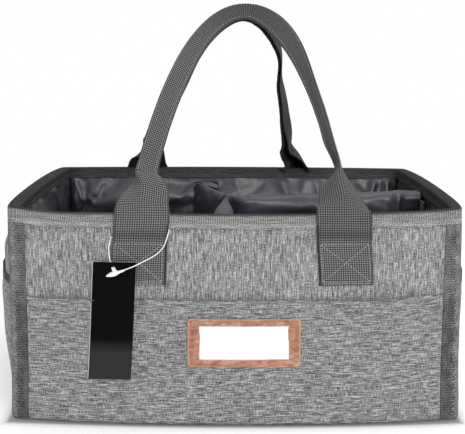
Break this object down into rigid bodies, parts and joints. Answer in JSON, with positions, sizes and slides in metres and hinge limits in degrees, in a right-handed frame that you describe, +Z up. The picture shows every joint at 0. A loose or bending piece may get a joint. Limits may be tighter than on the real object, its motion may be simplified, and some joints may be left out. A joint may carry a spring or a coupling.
{
  "type": "storage caddy",
  "caption": "Open-topped soft fabric caddy with outer pockets, arched webbing handles, a leather-framed label, a swing tag and a lift-out padded divider.",
  "frame": {"origin": "middle of the underside, where the caddy rests", "axes": "+X to the right along the long side, -Y to the front with the label, +Z up"},
  "size_m": [0.4197, 0.2694, 0.3638],
  "materials": {
    "heather_fabric": "heather grey melange polyester, matt",
    "binding_tape": "dark grey woven binding tape, matt",
    "hem": "dark navy hem tape",
    "webbing": "coarse woven grey webbing",
    "stiffener": "foam and plastic board, hidden",
    "lining": "satin coated lining cloth",
    "label_leather": "tan leatherette",
    "label_card": "plain white coated cloth",
    "tag_card": "black coated card, half gloss",
    "tag_plastic": "white nylon",
    "hook_and_loop": "black hook and loop tape"
  },
  "bodies": {
    "caddy": {"base_panel": "heather_fabric", "base_board": "stiffener", "base_lining": "lining", "front_panel": "heather_fabric", "front_board": "stiffener", "front_lining": "lining", "back_panel": "heather_fabric", "back_board": "stiffener", "back_lining": "lining", "left_panel": "heather_fabric", "left_board": "stiffener", "left_lining": "lining", "right_panel": "heather_fabric", "right_board": "stiffener", "right_lining": "lining", "corner_tape_back_right": "binding_tape", "corner_tape_back_left": "binding_tape", "corner_tape_front_left": "binding_tape", "corner_tape_front_right": "binding_tape", "rim_tape": "binding_tape", "front_pocket": "heather_fabric", "back_pocket": "heather_fabric", "left_pocket": "heather_fabric", "left_pocket_hem": "hem", "right_pocket": "heather_fabric", "right_pocket_hem": "hem", "label_frame": "label_leather", "label_card": "label_card", "front_handle_left_end": "webbing", "front_handle_right_end": "webbing", "back_handle_left_end": "webbing", "back_handle_right_end": "webbing", "right_loop_tape": "hook_and_loop", "back_loop_tape": "hook_and_loop", "front_loop_tape": "hook_and_loop"},
    "front_handle": {"front_handle": "webbing"},
    "back_handle": {"back_handle": "webbing"},
    "swing_tag": {"swing_tag": "tag_card", "tag_loop": "tag_plastic"},
    "divider": {"long_wing_cover": "lining", "long_wing_core": "stiffener", "long_wing_hook_flap": "hook_and_loop", "divider_seam": "lining"},
    "rear_wing": {"rear_wing_cover": "lining", "rear_wing_core": "stiffener", "rear_wing_hook_flap": "hook_and_loop"},
    "front_wing": {"front_wing_cover": "lining", "front_wing_core": "stiffener", "front_wing_hook_flap": "hook_and_loop"}
  },
  "joints": [
    {"name": "front_handle_swing", "type": "hinge", "parent": "caddy", "child": "front_handle", "pos_m": [0.005, -0.13336, 0.15725], "axis": [1, 0, 0], "range_deg": [0, 150]},
    {"name": "back_handle_swing", "type": "hinge", "parent": "caddy", "child": "back_handle", "pos_m": [-0.014, 0.1336, 0.1583], "axis": [1, 0, 0], "range_deg": [-150, 0]},
    {"name": "tag_swing", "type": "hinge", "parent": "caddy", "child": "swing_tag", "pos_m": [-0.081, -0.13096, 0.16341], "axis": [1, 0, 0], "range_deg": [-75, 0]},
    {"name": "divider_lift", "type": "slide", "parent": "caddy", "child": "divider", "axis": [0, 0, 1], "range_m": [0, 0.15]},
    {"name": "rear_wing_swing", "type": "hinge", "parent": "divider", "child": "rear_wing", "pos_m": [-0.008, 0.006, 0.09], "axis": [0, 0, 1], "range_deg": [0, 65]},
    {"name": "front_wing_swing", "type": "hinge", "parent": "divider", "child": "front_wing", "pos_m": [-0.008, 0.006, 0.09], "axis": [0, 0, 1], "range_deg": [-65, 0]}
  ]
}
